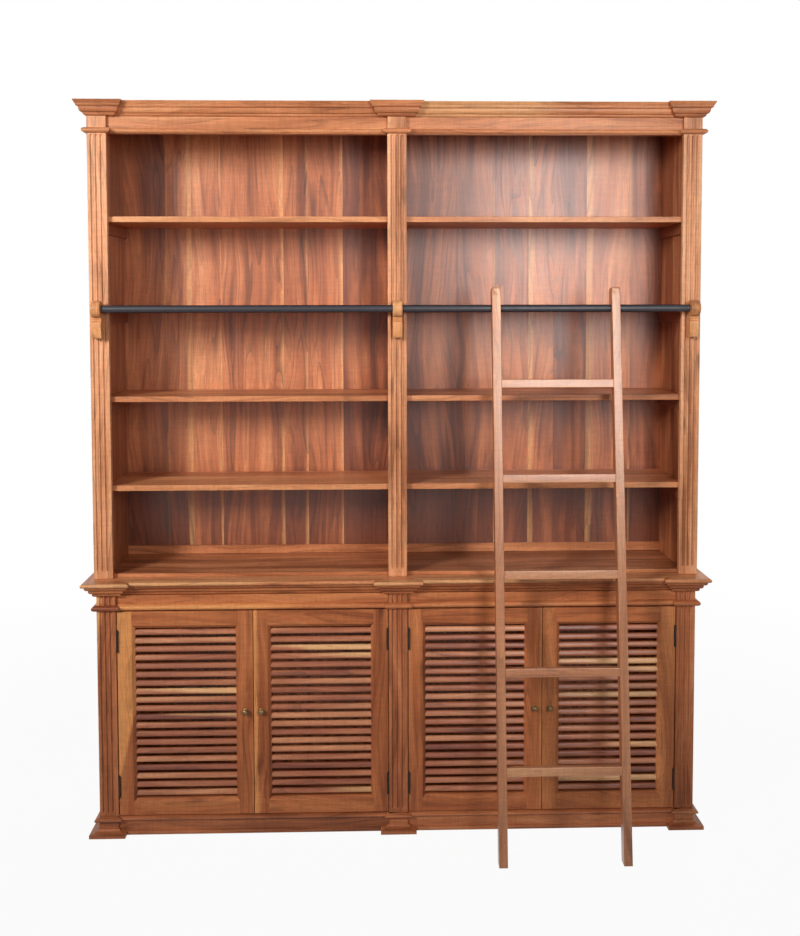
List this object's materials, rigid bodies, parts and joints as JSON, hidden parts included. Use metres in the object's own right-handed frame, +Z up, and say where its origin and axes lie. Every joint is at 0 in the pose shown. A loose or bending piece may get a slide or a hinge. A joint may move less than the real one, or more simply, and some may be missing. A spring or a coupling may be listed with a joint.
{
  "type": "ladder bookcase",
  "caption": "Tall two-part library bookcase: open shelves over louvred cupboards, with fluted pilasters, moulded cornice, and a wooden ladder hooked over a rail.",
  "frame": {"origin": "on the floor, midway across the width and midway between the wall plane behind the case and the front of the ladder's feet", "axes": "the front faces -Y, +X is to the viewer's right, +Z is up"},
  "size_m": [2.07, 0.616, 2.4],
  "materials": {
    "upper_wood": "clear satin lacquer",
    "back_boards": "clear satin lacquer",
    "pilaster_wood": "clear satin lacquer",
    "waist_wood": "clear satin lacquer",
    "base_wood": "clear satin lacquer",
    "door_wood": "clear satin lacquer",
    "corbel_wood": "clear satin lacquer",
    "ladder_wood": "clear satin lacquer",
    "rail_black": "satin black",
    "hinge_iron": "dark iron",
    "knob_brass": "aged brass"
  },
  "bodies": {
    "case": {"upper_side_left": "upper_wood", "upper_side_right": "upper_wood", "upper_partition": "upper_wood", "upper_floor": "upper_wood", "upper_frieze": "upper_wood", "neck_bead": "upper_wood", "cornice": "upper_wood", "shelf_left_1": "upper_wood", "shelf_left_2": "upper_wood", "shelf_left_3": "upper_wood", "shelf_left_4": "upper_wood", "shelf_right_1": "upper_wood", "shelf_right_2": "upper_wood", "shelf_right_3": "upper_wood", "shelf_right_4": "upper_wood", "upper_back": "back_boards", "base_back": "back_boards", "pilaster_left": "pilaster_wood", "pilaster_middle": "pilaster_wood", "pilaster_right": "pilaster_wood", "waist_slab": "waist_wood", "waist_moulding": "waist_wood", "base_bead": "waist_wood", "base_frieze": "waist_wood", "base_side_left": "waist_wood", "base_side_right": "waist_wood", "post_left": "base_wood", "post_middle": "base_wood", "post_right": "base_wood", "plinth": "base_wood", "base_floor": "base_wood", "base_partition": "base_wood", "corbel_left": "corbel_wood", "corbel_middle": "corbel_wood", "corbel_right": "corbel_wood", "rail_left": "rail_black", "hinge_1_upper": "hinge_iron", "hinge_1_lower": "hinge_iron", "hinge_2_upper": "hinge_iron", "hinge_2_lower": "hinge_iron", "hinge_3_upper": "hinge_iron", "hinge_3_lower": "hinge_iron", "hinge_4_upper": "hinge_iron", "hinge_4_lower": "hinge_iron"},
    "door_1": {"door_1": "door_wood", "knob_1": "knob_brass"},
    "door_2": {"door_2": "door_wood", "knob_2": "knob_brass"},
    "door_3": {"door_3": "door_wood", "knob_3": "knob_brass"},
    "door_4": {"door_4": "door_wood", "knob_4": "knob_brass"},
    "turning_rail": {"rail_right": "rail_black"},
    "ladder": {"ladder_stile_left": "ladder_wood", "ladder_stile_right": "ladder_wood", "ladder_rung_1": "ladder_wood", "ladder_rung_2": "ladder_wood", "ladder_rung_3": "ladder_wood", "ladder_rung_4": "ladder_wood", "ladder_rung_5": "ladder_wood"}
  },
  "joints": [
    {"name": "door_1_hinge", "type": "hinge", "parent": "case", "child": "door_1", "pos_m": [-0.9192, -0.0508, 0.405], "axis": [0, 0, -1], "range_deg": [0, 95]},
    {"name": "door_2_hinge", "type": "hinge", "parent": "case", "child": "door_2", "pos_m": [-0.0348, -0.0508, 0.405], "axis": [0, 0, 1], "range_deg": [0, 95]},
    {"name": "door_3_hinge", "type": "hinge", "parent": "case", "child": "door_3", "pos_m": [0.0348, -0.0508, 0.405], "axis": [0, 0, -1], "range_deg": [0, 15]},
    {"name": "door_4_hinge", "type": "hinge", "parent": "case", "child": "door_4", "pos_m": [0.9192, -0.0508, 0.405], "axis": [0, 0, 1], "range_deg": [0, 15]},
    {"name": "ladder_tilt", "type": "hinge", "parent": "case", "child": "turning_rail", "pos_m": [0.4845, -0.051, 1.7307], "axis": [-1, 0, 0], "range_deg": [0, 20]},
    {"name": "ladder_slide", "type": "slide", "parent": "turning_rail", "child": "ladder", "axis": [1, 0, 0], "range_m": [-0.265, 0.21]}
  ]
}
